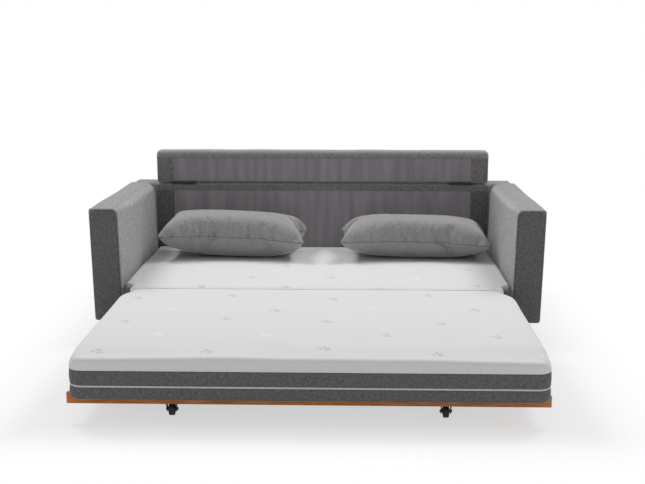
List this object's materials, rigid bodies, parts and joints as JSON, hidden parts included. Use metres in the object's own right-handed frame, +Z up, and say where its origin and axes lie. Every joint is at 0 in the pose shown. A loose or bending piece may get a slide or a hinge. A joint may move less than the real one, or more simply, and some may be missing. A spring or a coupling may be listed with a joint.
{
  "type": "pull-out sofa bed",
  "caption": "Low upholstered sofa bed with arms, a fold-down back panel, a folding mattress on a slatted front frame that rolls out on casters, and loose pillows.",
  "frame": {"origin": "on the floor under the middle of the opened bed, the bottom centre of its box", "axes": "+X towards the right arm as seen from the front, +Y from the pull-out end towards the back, +Z up"},
  "size_m": [2.091, 2.178, 0.7959],
  "materials": {
    "grey_fabric": "matte",
    "dark_fabric": "matte",
    "lining": "matte",
    "white_knit": "matte",
    "pillow_fabric": "matte",
    "front_wood": "satin",
    "slat_wood": "satin",
    "board": "matte",
    "black_metal": "satin",
    "black_plastic": "satin",
    "steel": "satin"
  },
  "bodies": {
    "sofa_body": {"left_arm_cover": "grey_fabric", "right_arm_cover": "grey_fabric", "left_arm_facing": "dark_fabric", "right_arm_facing": "dark_fabric", "left_base_facing": "dark_fabric", "right_base_facing": "dark_fabric", "left_arm_board": "board", "right_arm_board": "board", "back_cover": "grey_fabric", "back_board": "board", "back_lining": "lining", "left_hinge_lower_leaf": "black_metal", "right_hinge_lower_leaf": "black_metal", "left_hinge_pin": "steel", "right_hinge_pin": "steel", "left_side_rail": "slat_wood", "right_side_rail": "slat_wood", "rear_rail": "slat_wood", "stop_rail": "slat_wood", "fixed_slat_1": "slat_wood", "fixed_slat_2": "slat_wood", "fixed_slat_3": "slat_wood", "fixed_slat_4": "slat_wood", "fixed_slat_5": "slat_wood", "fixed_slat_6": "slat_wood", "left_front_foot": "black_plastic", "right_front_foot": "black_plastic", "left_rear_foot": "black_plastic", "right_rear_foot": "black_plastic", "centre_front_foot": "black_plastic", "centre_rear_foot": "black_plastic", "mattress_head": "white_knit", "mattress_seat": "white_knit", "mattress_roll": "white_knit", "fold_cloth": "white_knit", "left_pillow": "pillow_fabric", "right_pillow": "pillow_fabric"},
    "pullout_frame": {"front_board": "front_wood", "caster_rail": "slat_wood", "pullout_rear_rail": "slat_wood", "pullout_slat_1": "slat_wood", "pullout_slat_2": "slat_wood", "pullout_slat_3": "slat_wood", "pullout_slat_4": "slat_wood", "pullout_slat_5": "slat_wood", "left_caster_plate": "black_metal", "right_caster_plate": "black_metal"},
    "front_mattress": {"mattress_front": "white_knit"},
    "flip_panel": {"panel_cover": "grey_fabric", "panel_board": "board", "panel_lining": "lining", "left_hinge_upper_leaf": "black_metal", "right_hinge_upper_leaf": "black_metal"},
    "left_caster": {"left_caster_fork": "black_metal", "left_caster_axle": "black_metal"},
    "right_caster": {"right_caster_fork": "black_metal", "right_caster_axle": "black_metal"},
    "left_wheel": {"left_caster_wheel": "black_plastic"},
    "right_wheel": {"right_caster_wheel": "black_plastic"}
  },
  "joints": [
    {"name": "pullout_slide", "type": "slide", "parent": "sofa_body", "child": "pullout_frame", "axis": [0, 1, 0], "range_m": [0, 0.93]},
    {"name": "mattress_fold", "type": "hinge", "parent": "sofa_body", "child": "front_mattress", "pos_m": [0, -0.084, 0.2848], "axis": [-1, 0, 0], "range_deg": [0, 180], "deforming": ["fold_cloth", "left_pillow", "right_pillow"]},
    {"name": "back_flip", "type": "hinge", "parent": "sofa_body", "child": "flip_panel", "pos_m": [0, 0.9275, 0.62595], "axis": [1, 0, 0], "range_deg": [0, 180]},
    {"name": "caster_left_swivel", "type": "hinge", "parent": "pullout_frame", "child": "left_caster", "pos_m": [-0.519, -0.967, 0.0689], "axis": [0, 0, 1], "continuous": true},
    {"name": "caster_right_swivel", "type": "hinge", "parent": "pullout_frame", "child": "right_caster", "pos_m": [0.519, -0.967, 0.0689], "axis": [0, 0, 1], "continuous": true},
    {"name": "caster_left_roll", "type": "hinge", "parent": "left_caster", "child": "left_wheel", "pos_m": [-0.519, -0.952, 0.025], "axis": [1, 0, 0], "continuous": true},
    {"name": "caster_right_roll", "type": "hinge", "parent": "right_caster", "child": "right_wheel", "pos_m": [0.519, -0.952, 0.025], "axis": [1, 0, 0], "continuous": true}
  ]
}
